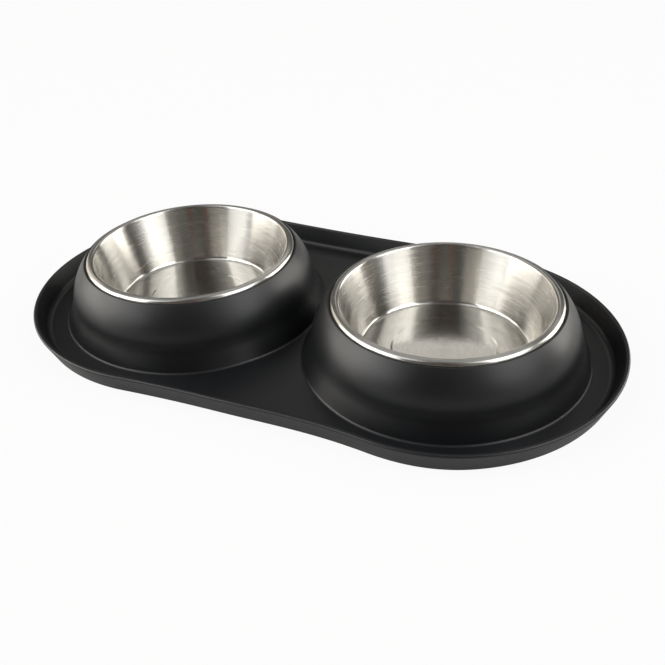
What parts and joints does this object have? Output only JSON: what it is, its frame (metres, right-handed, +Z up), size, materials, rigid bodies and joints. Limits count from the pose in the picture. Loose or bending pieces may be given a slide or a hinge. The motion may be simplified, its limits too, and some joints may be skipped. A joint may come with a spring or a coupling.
{
  "type": "double pet bowl",
  "caption": "Soft moulded spill tray with hollow round pods holding lift-out pressed steel bowls for food and water.",
  "frame": {"origin": "on the ground under the middle of the tray", "axes": "+X along the tray towards the water bowl, -Y towards the front, +Z up"},
  "size_m": [0.457, 0.2542, 0.0504],
  "materials": {
    "silicone": "matte moulded silicone",
    "steel": "brushed stainless"
  },
  "bodies": {
    "tray": {"tray": "silicone"},
    "food_bowl": {"food_bowl": "steel"},
    "water_bowl": {"water_bowl": "steel"}
  },
  "joints": [
    {"name": "food_bowl_lift", "type": "slide", "parent": "tray", "child": "food_bowl", "axis": [0, 0, 1], "range_m": [0, 0.06]},
    {"name": "water_bowl_lift", "type": "slide", "parent": "tray", "child": "water_bowl", "axis": [0, 0, 1], "range_m": [0, 0.06]}
  ]
}
